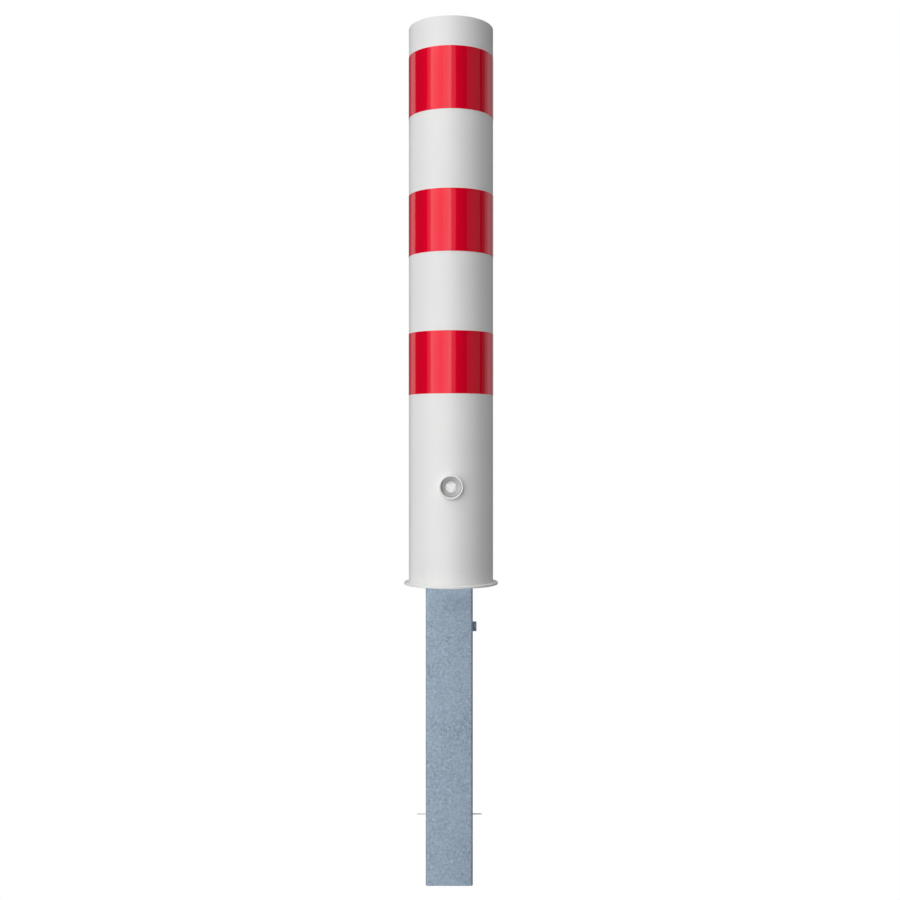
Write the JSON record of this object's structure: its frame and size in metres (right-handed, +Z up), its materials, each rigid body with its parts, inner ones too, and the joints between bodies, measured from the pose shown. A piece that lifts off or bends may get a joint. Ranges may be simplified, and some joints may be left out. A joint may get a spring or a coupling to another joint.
{
  "type": "removable safety bollard",
  "caption": "Round white steel bollard with red reflective bands, a triangular-key lock low on the front and a square ground sleeve below its base flange.",
  "frame": {"origin": "on the bollard's axis at ground level, which is the underside of the base flange", "axes": "+Z up along the bollard; the lock faces -Y; the locking pin slides out towards +X"},
  "size_m": [0.169, 0.169, 1.531],
  "materials": {
    "white_paint": "satin white powder coat",
    "red_film": "glossy retroreflective film",
    "galvanised": "dull blue-grey hot-dip galvanised steel",
    "zinc_fastener": "bright zinc plate",
    "bare_steel": "greased bare steel",
    "bronze": "sintered bearing bronze"
  },
  "bodies": {
    "ground_sleeve": {"ground_sleeve": "galvanised", "pin_keeper": "galvanised", "anchor_pin": "galvanised"},
    "bollard": {"bollard_tube": "white_paint", "top_cap": "white_paint", "base_flange": "white_paint", "centring_plate": "galvanised", "reflective_band_top": "red_film", "reflective_band_middle": "red_film", "reflective_band_bottom": "red_film", "lock_collar": "white_paint", "inner_post": "galvanised", "spindle_bush": "white_paint", "pin_guide_bush": "bronze", "pivot_bolt": "zinc_fastener", "pivot_nut": "zinc_fastener", "pivot_washer_front": "zinc_fastener", "pivot_washer_rear": "zinc_fastener", "pivot_spacer_front": "bare_steel", "pivot_spacer_rear": "bare_steel"},
    "spindle": {"lock_spindle": "white_paint", "spindle_spring_washer": "bare_steel", "crank_arm": "zinc_fastener", "crank_pin": "bare_steel", "crank_nut": "zinc_fastener"},
    "lever": {"latch_lever": "zinc_fastener"},
    "pin": {"locking_pin": "bare_steel", "drive_pin": "zinc_fastener", "drive_pin_clip": "bare_steel"}
  },
  "joints": [
    {"name": "bollard_lift", "type": "slide", "parent": "ground_sleeve", "child": "bollard", "axis": [0, 0, 1], "range_m": [0, 0.45]},
    {"name": "key_turn", "type": "hinge", "parent": "bollard", "child": "spindle", "pos_m": [0, -0.04, 0.177], "axis": [0, 1, 0], "range_deg": [0, 90]},
    {"name": "lever_rock", "type": "hinge", "parent": "bollard", "child": "lever", "pos_m": [0, -0.0095, 0.02], "axis": [0, -1, 0], "range_deg": [0, 7.71]},
    {"name": "pin_slide", "type": "slide", "parent": "bollard", "child": "pin", "axis": [1, 0, 0], "range_m": [0, 0.0131]}
  ],
  "couplings": [
    {"joint": "lever_rock", "follows": "key_turn", "ratio": 0.0855},
    {"joint": "pin_slide", "follows": "key_turn", "m_per_rad": 0.00831}
  ]
}
